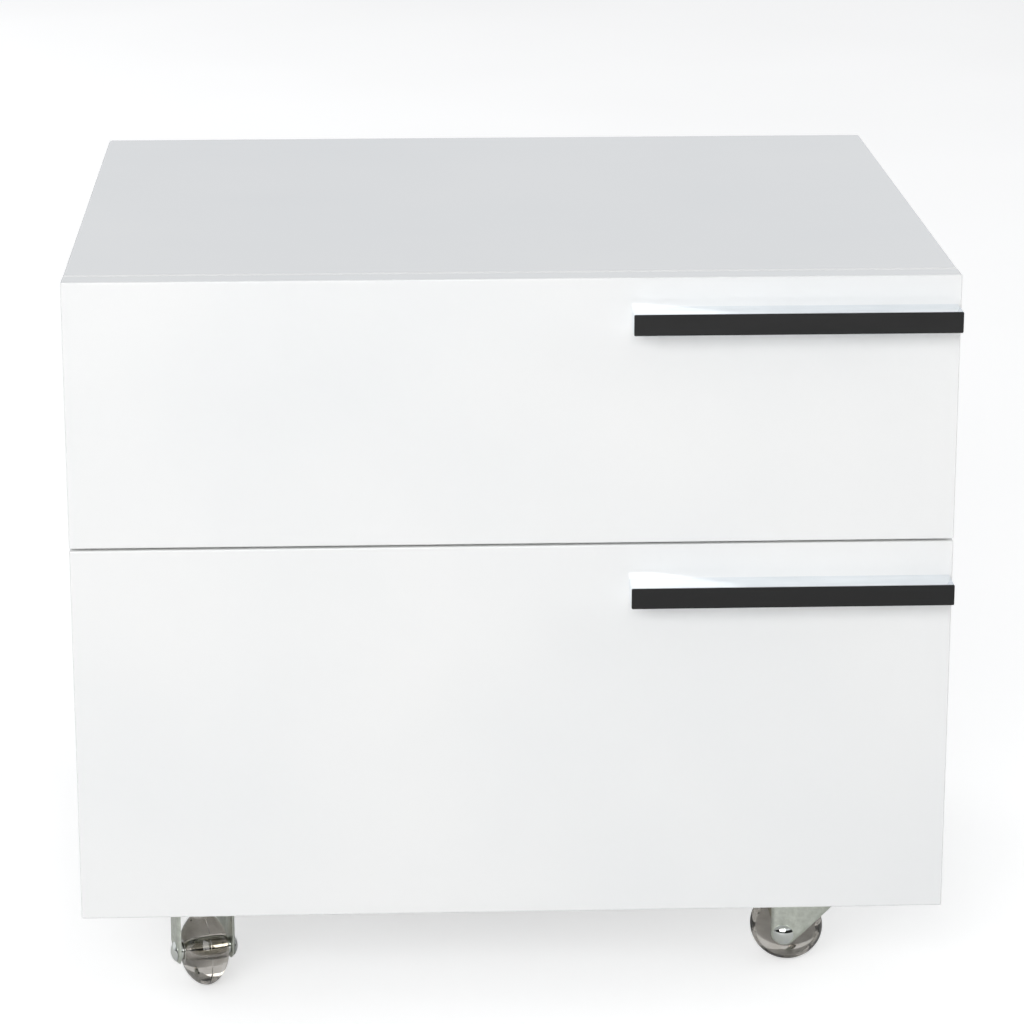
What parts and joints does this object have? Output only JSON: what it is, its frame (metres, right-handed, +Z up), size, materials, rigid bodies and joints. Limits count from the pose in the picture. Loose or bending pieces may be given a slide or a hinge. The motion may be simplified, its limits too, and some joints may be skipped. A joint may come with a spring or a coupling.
{
  "type": "rolling pedestal cabinet",
  "caption": "Low white lacquered pedestal cabinet on small clear swivel casters, with full-width drawers on telescopic runners and chrome and black pulls at the right.",
  "frame": {"origin": "on the floor, at the middle of the whole cabinet with its handles", "axes": "+Z up, drawer fronts face -Y, +X to the right of someone who faces the fronts"},
  "size_m": [0.4, 0.3664, 0.35],
  "materials": {
    "white_lacquered_board": "high gloss lacquer",
    "white_drawer_board": "satin",
    "beech_dowel": "matte",
    "clear_pad": "satin",
    "zinc_plated_steel": "bright zinc",
    "ball_cage_steel": "satin",
    "zinc_screw": "bright zinc",
    "chrome_handle": "polished",
    "black_insert": "polished",
    "caster_steel": "nickel plated",
    "bearing_steel": "polished",
    "chrome_axle": "polished",
    "clear_wheel": "clear polyurethane"
  },
  "bodies": {
    "cabinet": {"top_panel": "white_lacquered_board", "left_side_panel": "white_lacquered_board", "right_side_panel": "white_lacquered_board", "bottom_panel": "white_lacquered_board", "back_panel": "white_lacquered_board", "carcass_dowels": "beech_dowel", "bumper_pads": "clear_pad", "upper_left_cabinet_rail": "zinc_plated_steel", "upper_right_cabinet_rail": "zinc_plated_steel", "lower_left_cabinet_rail": "zinc_plated_steel", "lower_right_cabinet_rail": "zinc_plated_steel", "cabinet_screws": "zinc_screw", "front_left_caster_plate": "caster_steel", "front_right_caster_plate": "caster_steel", "rear_left_caster_plate": "caster_steel", "rear_right_caster_plate": "caster_steel", "caster_kingpins": "caster_steel", "caster_bearing_balls": "bearing_steel"},
    "upper_drawer": {"upper_drawer_front": "white_lacquered_board", "upper_drawer_left_side": "white_drawer_board", "upper_drawer_right_side": "white_drawer_board", "upper_drawer_back": "white_drawer_board", "upper_drawer_bottom": "white_drawer_board", "upper_drawer_dowels": "beech_dowel", "upper_left_drawer_rail": "zinc_plated_steel", "upper_right_drawer_rail": "zinc_plated_steel", "upper_drawer_rail_screws": "zinc_screw", "upper_handle_screws": "zinc_screw", "upper_handle": "chrome_handle", "upper_handle_insert": "black_insert"},
    "upper_middle_rail_pair": {"upper_middle_rails": "zinc_plated_steel"},
    "upper_outer_cages": {"upper_outer_ball_cages": "ball_cage_steel"},
    "upper_inner_cages": {"upper_inner_ball_cages": "ball_cage_steel"},
    "lower_drawer": {"lower_drawer_front": "white_lacquered_board", "lower_drawer_left_side": "white_drawer_board", "lower_drawer_right_side": "white_drawer_board", "lower_drawer_back": "white_drawer_board", "lower_drawer_bottom": "white_drawer_board", "lower_drawer_dowels": "beech_dowel", "lower_left_drawer_rail": "zinc_plated_steel", "lower_right_drawer_rail": "zinc_plated_steel", "lower_drawer_rail_screws": "zinc_screw", "lower_handle_screws": "zinc_screw", "lower_handle": "chrome_handle", "lower_handle_insert": "black_insert"},
    "lower_middle_rail_pair": {"lower_middle_rails": "zinc_plated_steel"},
    "lower_outer_cages": {"lower_outer_ball_cages": "ball_cage_steel"},
    "lower_inner_cages": {"lower_inner_ball_cages": "ball_cage_steel"},
    "front_left_caster": {"front_left_fork": "caster_steel", "front_left_axle": "chrome_axle"},
    "front_left_wheel": {"front_left_wheel": "clear_wheel"},
    "front_right_caster": {"front_right_fork": "caster_steel", "front_right_axle": "chrome_axle"},
    "front_right_wheel": {"front_right_wheel": "clear_wheel"},
    "rear_left_caster": {"rear_left_fork": "caster_steel", "rear_left_axle": "chrome_axle"},
    "rear_left_wheel": {"rear_left_wheel": "clear_wheel"},
    "rear_right_caster": {"rear_right_fork": "caster_steel", "rear_right_axle": "chrome_axle"},
    "rear_right_wheel": {"rear_right_wheel": "clear_wheel"}
  },
  "joints": [
    {"name": "upper_drawer_slide", "type": "slide", "parent": "cabinet", "child": "upper_drawer", "axis": [0, -1, 0], "range_m": [0, 0.28]},
    {"name": "upper_middle_rail_pair_slide", "type": "slide", "parent": "cabinet", "child": "upper_middle_rail_pair", "axis": [0, -1, 0], "range_m": [0, 0.14]},
    {"name": "upper_outer_cages_slide", "type": "slide", "parent": "cabinet", "child": "upper_outer_cages", "axis": [0, -1, 0], "range_m": [0, 0.07]},
    {"name": "upper_inner_cages_slide", "type": "slide", "parent": "cabinet", "child": "upper_inner_cages", "axis": [0, -1, 0], "range_m": [0, 0.21]},
    {"name": "lower_drawer_slide", "type": "slide", "parent": "cabinet", "child": "lower_drawer", "axis": [0, -1, 0], "range_m": [0, 0.28]},
    {"name": "lower_middle_rail_pair_slide", "type": "slide", "parent": "cabinet", "child": "lower_middle_rail_pair", "axis": [0, -1, 0], "range_m": [0, 0.14]},
    {"name": "lower_outer_cages_slide", "type": "slide", "parent": "cabinet", "child": "lower_outer_cages", "axis": [0, -1, 0], "range_m": [0, 0.07]},
    {"name": "lower_inner_cages_slide", "type": "slide", "parent": "cabinet", "child": "lower_inner_cages", "axis": [0, -1, 0], "range_m": [0, 0.21]},
    {"name": "front_left_swivel", "type": "hinge", "parent": "cabinet", "child": "front_left_caster", "pos_m": [-0.15, -0.11275, 0.0423], "axis": [0, 0, 1], "continuous": true},
    {"name": "front_left_wheel_spin", "type": "hinge", "parent": "front_left_caster", "child": "front_left_wheel", "pos_m": [-0.14559, -0.12813, 0.0175], "axis": [0.9613, 0.2756, 0], "continuous": true},
    {"name": "front_right_swivel", "type": "hinge", "parent": "cabinet", "child": "front_right_caster", "pos_m": [0.15, -0.11275, 0.0423], "axis": [0, 0, 1], "continuous": true},
    {"name": "front_right_wheel_spin", "type": "hinge", "parent": "front_right_caster", "child": "front_right_wheel", "pos_m": [0.13435, -0.10942, 0.0175], "axis": [-0.2079, -0.9781, 0], "continuous": true},
    {"name": "rear_left_swivel", "type": "hinge", "parent": "cabinet", "child": "rear_left_caster", "pos_m": [-0.15, 0.12925, 0.0423], "axis": [0, 0, 1], "continuous": true},
    {"name": "rear_left_wheel_spin", "type": "hinge", "parent": "rear_left_caster", "child": "rear_left_wheel", "pos_m": [-0.13739, 0.1391, 0.0175], "axis": [-0.6157, 0.788, 0], "continuous": true},
    {"name": "rear_right_swivel", "type": "hinge", "parent": "cabinet", "child": "rear_right_caster", "pos_m": [0.15, 0.12925, 0.0423], "axis": [0, 0, 1], "continuous": true},
    {"name": "rear_right_wheel_spin", "type": "hinge", "parent": "rear_right_caster", "child": "rear_right_wheel", "pos_m": [0.1355, 0.12249, 0.0175], "axis": [0.4226, -0.9063, 0], "continuous": true}
  ],
  "couplings": [
    {"joint": "upper_middle_rail_pair_slide", "follows": "upper_drawer_slide", "ratio": 0.5},
    {"joint": "upper_outer_cages_slide", "follows": "upper_drawer_slide", "ratio": 0.25},
    {"joint": "upper_inner_cages_slide", "follows": "upper_drawer_slide", "ratio": 0.75},
    {"joint": "lower_middle_rail_pair_slide", "follows": "lower_drawer_slide", "ratio": 0.5},
    {"joint": "lower_outer_cages_slide", "follows": "lower_drawer_slide", "ratio": 0.25},
    {"joint": "lower_inner_cages_slide", "follows": "lower_drawer_slide", "ratio": 0.75}
  ]
}
